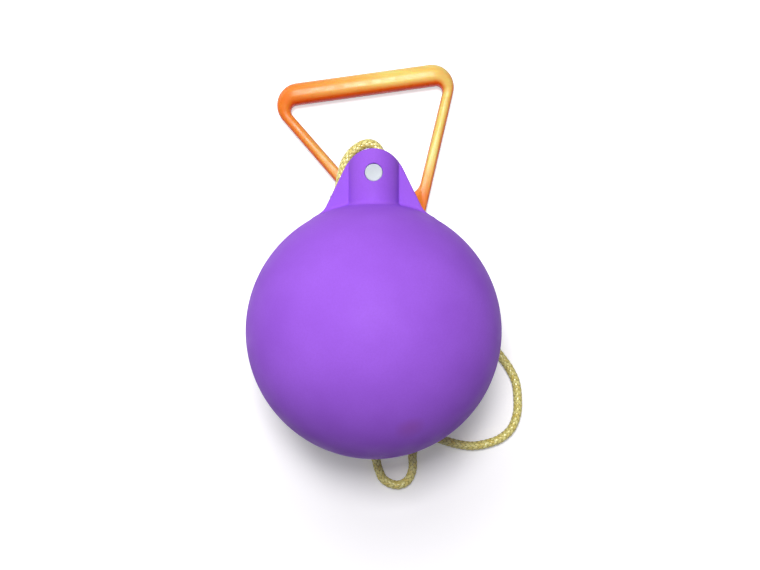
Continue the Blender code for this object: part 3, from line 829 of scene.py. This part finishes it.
def tube_part(centre, across, normal, section, start):
    """Points and faces of one closed tube: a section carried along a centreline."""
    count = len(section)
    points = centre[:, None] + across[:, None] * section[None, :, :1] \
        + normal[:, None] * section[None, :, 1:]
    index = start + np.arange(len(centre) * count).reshape(len(centre), count)
    after = np.roll(index, -1, axis=1)
    quads = np.stack([index[:-1], after[:-1], after[1:], index[1:]], axis=-1).reshape(-1, 4)
    faces = quads.tolist() + [index[0][::-1].tolist(), index[-1].tolist()]
    return points.reshape(-1, 3), faces


def braid_strands(route):
    """Centreline, outward direction and height over its neighbours of each strand of a braid."""
    _, side, up = carried_frames(route)
    turns = travelled(route) / BRAID_LEAD
    middle = ROPE_RADIUS - STRAND_THICKNESS / 2 - STRAND_SWING
    strands = []
    for direction in (1, -1):
        for number in range(BRAID_STRANDS):
            angle = 2 * math.pi * (direction * turns + number / BRAID_STRANDS)
            cycle = 2 * number + direction * 2 * BRAID_STRANDS * turns
            # Over two strands and under two, with flattened crests.
            wave = np.cos(2 * math.pi * (cycle - 0.5) / 4)
            wave = wave * (1.5 - 0.5 * wave ** 2)
            outward = np.cos(angle)[:, None] * side + np.sin(angle)[:, None] * up
            over = direction * wave
            centre = route + outward * (middle + STRAND_SWING * over)[:, None]
            strands.append((centre, outward, (1 + over) / 2))
    return strands


def oval_section(sides, width, height):
    """Points round an oval of these half sizes."""
    angles = 2 * math.pi * np.arange(sides) / sides
    return np.stack([width * np.cos(angles), height * np.sin(angles)], axis=1)


def braid_tubes(route):
    """Centre, directions across, section, tint and painted light share of each strand and the core.
    """
    flat = oval_section(STRAND_SIDES, STRAND_WIDTH / 2, STRAND_THICKNESS / 2)
    # Painted light share: a strand's height over its neighbours, less on its section's lower side.
    upper = np.maximum(oval_section(STRAND_SIDES, 1, 1)[:, 1], 0)
    edge = STRAND_EDGE + (1 - STRAND_EDGE) * upper
    tubes = []
    for (centre, outward, over), tint in zip(braid_strands(route), STRAND_TINTS):
        along = unit(np.gradient(centre, axis=0))
        across = unit(np.cross(along, outward))
        tubes.append((centre, across, np.cross(across, along), flat, tint, over[:, None] * edge))
    _, side, up = carried_frames(route)
    core = oval_section(CORE_SIDES, CORE_RADIUS, CORE_RADIUS)
    tubes.append((route, side, up, core, 0.0, np.zeros((len(route), CORE_SIDES))))
    return tubes


def braided(name, route, surface, first=0, last=None):
    """A braid of flat strands round a core, or a stretch of it between two of its rings."""
    part = slice(first, last)
    reach = travelled(route)[part] / MM
    points = []
    faces = []
    tints = []
    painted_lights = []
    lay = []
    start = 0
    for centre, across, normal, section, tint, painted_light in braid_tubes(route):
        sides = len(section)
        made, made_faces = tube_part(centre[part], across[part], normal[part], section, start)
        points.append(made)
        faces += made_faces
        tints += [tint] * len(made)
        painted_lights += painted_light[part].ravel().tolist()
        turn = np.tile(np.arange(sides) / sides, len(reach))
        lay.append(np.stack([np.repeat(reach, sides), turn], axis=1))
        start += len(made)
    mesh = mesh_of(name, np.concatenate(points), faces)
    store(mesh, "tint", tints)
    store(mesh, "painted_light", painted_lights)
    layer = mesh.uv_layers.new(name="lay")
    corners = np.zeros(len(mesh.loops), int)
    mesh.loops.foreach_get("vertex_index", corners)
    layer.data.foreach_set("uv", np.concatenate(lay)[corners].ravel())
    face_outwards(mesh)
    return add_object(name, mesh, surface, BRAID_SHARP)


def by_the_pin(points):
    """Millimetre points from the pin's middle and the eye's plane, as places in metres."""
    middle = np.array((0, PIN_Y, EYE_PLANE_Z))
    return [middle + np.array((*point, 0.0)[:3]) * MM for point in points]


def strand_at(strand, height):
    """A list of the one place where a strand of the eye is at a height."""
    x, y, _ = by_the_pin([strand])[0]
    return [np.array((x, y, height))]


def eye_braid(surface):
    """The eye: out of the sleeve, round the lug and its pin, and back into the sleeve."""
    start = strand_at(LIVE_STRAND, ROPE_SPLICE_Z)
    end = strand_at(DEAD_STRAND, DEAD_END_Z)
    route = smooth_route(start + by_the_pin(EYE_RISE + EYE_ARC + EYE_FALL) + end, BRAID_STEP)
    seat(braided("eye_braid", route, surface), "head", "rope_yarn", "rope_head_eye")


def handle_place(x, y, z=0.0):
    """A point of the handle's own frame, in the hammer's."""
    turn_x = x * math.cos(HANDLE_TURN) - y * math.sin(HANDLE_TURN)
    turn_y = x * math.sin(HANDLE_TURN) + y * math.cos(HANDLE_TURN)
    return np.array((HANDLE_X + turn_x, HANDLE_Y + turn_y, BAR_DEPTH / 2 + z))


def knot_points():
    """The rope's centre through the handle's bore and round the stopper knot."""
    points = [handle_place(0, reach) for reach in (0.0, WEB_LENGTH * 0.5, KNOT_START - KNOT_LEAD)]
    for step in range(KNOT_STEPS + 1):
        share = step / KNOT_STEPS
        radius = KNOT_WRAP_RADIUS * eased(min(share, 1 - share), 0, KNOT_SWELL)
        angle = 2 * math.pi * KNOT_TURNS * share
        reach = KNOT_START + (KNOT_END - KNOT_START) * share
        points.append(handle_place(radius * math.cos(angle), reach, radius * math.sin(angle)))
    points.append(handle_place(0, KNOT_END + KNOT_STUB))
    return points


def rope_tip(place, direction, surface):
    """The bead at the rope's melted end."""
    profile = [(radius * MM, height * MM) for radius, height in TIP_PROFILE]
    mesh = turned("rope_tip", profile, TIP_SEGMENTS)
    mesh.transform(Vector(direction).to_track_quat("Z", "Y").to_matrix().to_4x4())
    mesh.transform(Matrix.Translation(place))
    item = add_object("rope_tip", mesh, surface)
    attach(item, "handle")


def free_rope(surface, melted):
    """The rope from the sleeve to the handle, and its last stretch, tail and knot."""
    lie = (ROPE_RADIUS + ROPE_FLOOR_LIFT) / MM
    chosen = ROPE_FALL + [(x, y, lie) for x, y in ROPE_LIE] + ROPE_RISE
    sleeve = strand_at(LIVE_STRAND, ROPE_SPLICE_Z) + strand_at(LIVE_STRAND, SLEEVE_BOTTOM)
    mouth = handle_place(0, 0)
    lead = [handle_place(0, -reach) for reach in (ROPE_LEAD, ROPE_LEAD * 0.6)]
    points = sleeve + [np.array(point) * MM for point in chosen] + lead + knot_points()
    route = smooth_route(points, BRAID_STEP)
    to_mouth = np.linalg.norm(route - mouth, axis=1)
    ahead = (route - mouth) @ (handle_place(0, 1) - mouth) > 0
    split = int(np.nonzero((to_mouth > BEND_REACH) & ~ahead)[0][-1])
    main = braided("rope_braid", route, surface, 0, split + 1)
    end = braided("rope_end_braid", route, surface, split, None)
    seat(main, "head", "rope_yarn", "rope")
    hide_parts("rope_tail", "stopper_knot")
    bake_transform(end)
    rope_tip(route[-1], unit(route[-1] - route[-3]), melted)


# Fittings

def oval_ring(radius, height, half=SLEEVE_HALF):
    """Points of a flat oval, whose two half circles stand half a width from its middle."""
    made = []
    for side in (1, -1):
        for step in range(SLEEVE_ARC_STEPS + 1):
            angle = math.pi * step / SLEEVE_ARC_STEPS - math.pi / 2
            made.append((side * (half + radius * math.cos(angle)), side * radius * math.sin(angle),
                         height))
    return made


def crimped_sleeve(surface):
    """A flat oval sleeve with three crimped dents and rolled lips, open at both ends."""
    outer = SLEEVE_BORE + SLEEVE_WALL
    lip = [(SLEEVE_BORE, SLEEVE_BELL_DEPTH), (SLEEVE_BORE + SLEEVE_LIP, SLEEVE_LIP_DROP),
           (outer - SLEEVE_ROUNDING, 0)]
    rings = [oval_ring(radius, SLEEVE_BOTTOM + inset) for radius, inset in lip]
    for step in range(SLEEVE_STEPS + 1):
        share = step / SLEEVE_STEPS
        height = SLEEVE_BOTTOM + SLEEVE_LIP + share * (SLEEVE_TOP - SLEEVE_BOTTOM - 2 * SLEEVE_LIP)
        dent = max(math.exp(-((share - place) / CRIMP_REACH) ** 4) for place in CRIMP_PLACES)
        rings.append(oval_ring(outer - CRIMP_DEPTH * dent, height, SLEEVE_HALF + CRIMP_SPREAD * dent))
    rings += [oval_ring(radius, SLEEVE_TOP - inset) for radius, inset in reversed(lip)]
    mesh = rings_mesh("sleeve_crimped", rings)
    mesh.transform(Matrix.Translation((*SLEEVE_CENTRE, 0)))
    seat(add_object("sleeve_crimped", mesh, surface), "head", "sleeve_metal", "head_sleeve")


def pin_cap(name, node, surface):
    """A cap of the pin: a dished disc with a rounded rim."""
    low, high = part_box(node)
    upward = 1 if (low.z + high.z) / 2 > BALL_RADIUS else -1
    face = high.z if upward > 0 else low.z
    radius = PIN_HOLE_RADIUS - CAP_GAP
    shoulder = radius - CAP_RIM
    profile = [(0, -CAP_DEPTH), (radius, -CAP_DEPTH), (radius, -CAP_RIM)]
    for step in range(1, CAP_RIM_STEPS + 1):
        angle = math.pi / 2 * step / CAP_RIM_STEPS
        profile.append((shoulder + CAP_RIM * math.cos(angle), CAP_RIM * math.sin(angle) - CAP_RIM))
    profile += [(radius * share, -dip) for share, dip in CAP_DISH]
    mesh = turned(name, [(across, upward * height) for across, height in profile], CAP_SEGMENTS)
    if upward < 0:
        mesh.flip_normals()
    mesh.transform(Matrix.Translation((0, PIN_Y, face)))
    seat(add_object(name, mesh, surface, CAP_SHARP), "head", "cap_plastic", node)


def vent_plug(surface):
    """The plug's flat head with a moulded ring and a centre dimple."""
    radius = VENT_HOLE_RADIUS - PLUG_GAP
    profile = [(width, PLUG_RING_DEPTH * depth) for width, depth in PLUG_DIMPLE]
    profile += [(radius * share, PLUG_RING_DEPTH * depth) for share, depth in PLUG_RING]
    profile += [(radius - PLUG_EDGE, 0), (radius, PLUG_EDGE), (radius, PLUG_DEPTH), (0, PLUG_DEPTH)]
    mesh = turned("vent_plug_head", profile, PLUG_SEGMENTS)
    seat(add_object("vent_plug_head", mesh, surface), "head", "plug_rubber", "vent_plug")


# Handle

def meeting(first, second):
    """The point where two lines, each through two points, cross."""
    start, along = first[0], first[1] - first[0]
    other, across = second[0], second[1] - second[0]
    gap = other - start
    share = (gap.x * across.y - gap.y * across.x) / (along.x * across.y - along.y * across.x)
    return start + along * share


def rounded_outline(corners, fillets):
    """Corner arcs, each followed by the straight side to the next corner, as lists of points."""
    arcs = []
    for index, corner in enumerate(corners):
        back = (corners[index - 1] - corner).normalized()
        ahead = (corners[(index + 1) % len(corners)] - corner).normalized()
        half = back.angle(ahead) / 2
        reach = fillets[index] / math.tan(half)
        centre = corner + (back + ahead).normalized() * fillets[index] / math.sin(half)
        start = corner + back * reach - centre
        turn = (corner + ahead * reach - centre).angle_signed(start)
        arc = []
        for step in range(FILLET_STEPS + 1):
            angle = turn * step / FILLET_STEPS
            x = start.x * math.cos(angle) - start.y * math.sin(angle)
            y = start.x * math.sin(angle) + start.y * math.cos(angle)
            arc.append(centre + Vector((x, y)))
        arcs.append(arc)
    points = []
    for index, arc in enumerate(arcs):
        points += arc
        target = arcs[(index + 1) % len(arcs)][0]
        points += [arc[-1].lerp(target, step / SIDE_STEPS) for step in range(1, SIDE_STEPS)]
    return points


def leg_line(side, angle, edge):
    """A leg's middle line, or with edge 1 or -1 its outer or inner side, from top to low end."""
    top = Vector((BAR_MIDDLE_X + side * BAR_LENGTH / 2, HANDLE_REACH))
    low = top + Vector((-side * math.tan(angle), -1)) * (HANDLE_REACH - WEB_LENGTH)
    outwards = Vector((side * math.cos(angle), -math.sin(angle)))
    return (top + outwards * edge * LEG_TOP_WIDTH / 2, low + outwards * edge * LEG_LOW_WIDTH / 2)


def handle_outline(edge, bar_y, web_y, bar_fillet, web_fillet):
    """The handle's outer outline, with edge 1, or that of its opening, with edge -1."""
    left = leg_line(-1, LEFT_LEG_ANGLE, edge)
    right = leg_line(1, RIGHT_LEG_ANGLE, edge)
    bar = (Vector((0, bar_y)), Vector((1, bar_y)))
    web = (Vector((0, web_y)), Vector((1, web_y)))
    corners = [meeting(bar, right), meeting(bar, left), meeting(web, left), meeting(web, right)]
    return rounded_outline(corners, [bar_fillet, bar_fillet, web_fillet, web_fillet])


def handle_depths():
    """The handle's depth at each point of its outline, eased from side to side at the corners."""
    changes = [(LEG_DEPTH, BAR_DEPTH), (BAR_DEPTH, LEG_DEPTH),
               (LEG_DEPTH, WEB_DEPTH), (WEB_DEPTH, LEG_DEPTH)]
    depths = []
    for before, after in changes:
        for step in range(FILLET_STEPS + 1):
            depths.append(before + (after - before) * eased(step / FILLET_STEPS, 0, 1))
        depths += [after] * (SIDE_STEPS - 1)
    return depths


def handle_section(inner, outer, depth):
    """A rounded rectangle from the opening's edge to the outside, with the mould's seams."""
    across = (outer - inner) / 2
    middle = (outer + inner) / 2
    half_width = across.length
    across = across / half_width
    rounding = SECTION_ROUNDING * min(2 * half_width, depth)
    flat = depth / 2 - rounding
    seam = min(SEAM_HALF_WIDTH, SEAM_ON_FLAT * flat)
    outline = []
    for corner in range(4):
        side = 1 if corner in (0, 3) else -1
        rise = 1 if corner in (0, 1) else -1
        for step in range(SECTION_STEPS + 1):
            angle = math.pi / 2 * (corner + step / SECTION_STEPS)
            outline.append((side * (half_width - rounding) + rounding * math.cos(angle),
                            rise * flat + rounding * math.sin(angle)))
        if corner in (1, 3):
            outline += [(side * half_width, rise * seam),
                        (side * (half_width + SEAM_HEIGHT), 0),
                        (side * half_width, -rise * seam)]
    return [(middle.x + across.x * u, middle.y + across.y * u, v) for u, v in outline]


def bore_cutter():
    """The rope's bore along the handle's Y, flared at both mouths of the web."""
    flare = [(0, -BORE_FLARE_DEPTH), (BORE_FLARE_RADIUS * 1.25, -BORE_FLARE_DEPTH)]
    widening = BORE_FLARE_RADIUS - ROPE_BORE_RADIUS
    for step in range(FLARE_STEPS + 1):
        angle = math.pi / 2 * step / FLARE_STEPS
        flare.append((ROPE_BORE_RADIUS + widening * (1 - math.sin(angle)),
                      BORE_FLARE_DEPTH * (1 - math.cos(angle))))
    flare += [(radius, WEB_LENGTH - height) for radius, height in reversed(flare)]
    mesh = turned("bore_cutter", flare, BORE_SEGMENTS)
    mesh.transform(Matrix.Rotation(-math.pi / 2, 4, "X"))
    face_outwards(mesh)
    return mesh


def handle_grip(surface):
    """The one-piece handle: sections lofted round its triangle, and the rope's flared bore."""
    half = BAR_THICKNESS / 2
    outer = handle_outline(1, HANDLE_REACH + half, 0.0, BAR_OUTER_FILLET, WEB_OUTER_FILLET)
    inner = handle_outline(-1, HANDLE_REACH - half, WEB_LENGTH, BAR_INNER_FILLET, WEB_INNER_FILLET)
    rings = [handle_section(inside, outside, depth)
             for inside, outside, depth in zip(inner, outer, handle_depths())]
    grip = add_object("grip_loft", rings_mesh("grip_loft", rings), surface, None)
    cutter = add_object("bore_cutter", bore_cutter(), surface, None)
    mesh = combine("handle_grip", grip, cutter, "DIFFERENCE")
    # Painted light and shade for the material: more on faces that point up or down or towards +Y.
    store(mesh, "painted_light", [PAINTED_LIGHT_UP * abs(vertex.normal.z) + PAINTED_LIGHT_BACK * vertex.normal.y
                          for vertex in mesh.vertices])
    mesh.transform(Matrix.Rotation(HANDLE_TURN, 4, "Z"))
    mesh.transform(Matrix.Translation(handle_place(0, 0)))
    seat(add_object("handle_grip", mesh, surface), "handle", "handle_plastic", "handle_frame")


# Studio

def floor_white():
    """A white floor that takes the shadow and glows where it is seen, with painted shadow and light.
    """
    made = Finish("floor_white", 0.9)
    path = made.add("ShaderNodeLightPath")
    seen = made.maths("MAXIMUM", path.outputs["Is Camera Ray"], path.outputs["Is Glossy Ray"])
    seen = made.maths("MAXIMUM", seen, path.outputs["Is Transmission Ray"])
    made.set(base_color=made.mix(seen, colour(138, 137, 140), colour(240, 238, 242)))
    # Painted shadow and light: the glow is least round SHADOW_MIDDLE, under the ball, and grows
    # outwards, washing out other shadows.
    away = made.away(SHADOW_MIDDLE)
    near = made.span(away, *SHADOW_FADE, SHADOW_GLOW, FLOOR_GLOW)
    glow = made.maths("ADD", near, made.span(away, *FAR_FADE, 0.0, FAR_GLOW))
    made.fix("Specular IOR Level", 0.0)
    made.fix("Emission Color", (1, 1, 1, 1))
    made.set(emission_strength=made.maths("MULTIPLY", seen, glow))
    return made.material


def lamp(name, place, size, energy):
    """A large square soft light that faces the hammer."""
    light = bpy.data.lights.new(name, "AREA")
    light.shape = "SQUARE"
    light.size = size
    light.energy = energy
    item = bpy.data.objects.new(name, light)
    bpy.context.scene.collection.objects.link(item)
    item.location = place
    item.rotation_euler = (Vector(LAMP_TARGET) - item.location).to_track_quat("-Z", "Y").to_euler()


def white_world():
    """A world that is white where it is seen, and a weak fill light besides."""
    world = bpy.data.worlds.new("studio")
    bpy.context.scene.world = world
    world.use_nodes = True
    tree = world.node_tree
    background = tree.nodes["Background"]
    background.inputs["Color"].default_value = (1, 1, 1, 1)
    path = tree.nodes.new("ShaderNodeLightPath")
    seen = path.outputs["Is Camera Ray"]
    for ray in ("Is Glossy Ray", "Is Transmission Ray"):
        both = tree.nodes.new("ShaderNodeMath")
        both.operation = "ADD"
        both.use_clamp = True
        tree.links.new(seen, both.inputs[0])
        tree.links.new(path.outputs[ray], both.inputs[1])
        seen = both.outputs[0]
    level = tree.nodes.new("ShaderNodeMapRange")
    level.inputs["To Min"].default_value = WORLD_LEVEL
    level.inputs["To Max"].default_value = 1.0
    tree.links.new(seen, level.inputs["Value"])
    tree.links.new(level.outputs["Result"], background.inputs["Strength"])


def studio():
    """A white floor and world, a key lamp nearly overhead and a low side lamp."""
    corners = [(x * FLOOR_HALF, y * FLOOR_HALF, 0) for x, y in ((-1, -1), (1, -1), (1, 1), (-1, 1))]
    floor = add_object("floor", mesh_of("floor", corners, [(0, 1, 2, 3)]), floor_white(), None)
    lamp("key", KEY_PLACE, KEY_SIZE, KEY_POWER)
    lamp("side", SIDE_PLACE, SIDE_SIZE, SIDE_POWER)
    white_world()


def camera():
    """The camera straight above, as in the photograph."""
    lens = bpy.data.cameras.new("camera")
    lens.lens = CAMERA_LENS
    lens.sensor_width = CAMERA_SENSOR
    item = bpy.data.objects.new("camera", lens)
    item.location = CAMERA_PLACE
    bpy.context.scene.collection.objects.link(item)
    bpy.context.scene.camera = item


def build():
    """Make the camera, the pieces and the studio."""
    camera()
    yarn = rope_yarn()
    free_rope(yarn, melted_yarn())
    eye_braid(yarn)
    ball_skin(soft_vinyl())
    vent_plug(plug_rubber())
    caps = cap_plastic()
    pin_cap("cap_front", "pin_cap_front", caps)
    pin_cap("cap_rear", "pin_cap_rear", caps)
    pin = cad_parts["lug_pin"]
    pin.data.materials.clear()
    pin.data.materials.append(pin_plastic())
    crimped_sleeve(crimped_metal())
    handle_grip(handle_plastic())
    studio()
    bpy.context.scene.view_settings.view_transform = "Standard"


build()
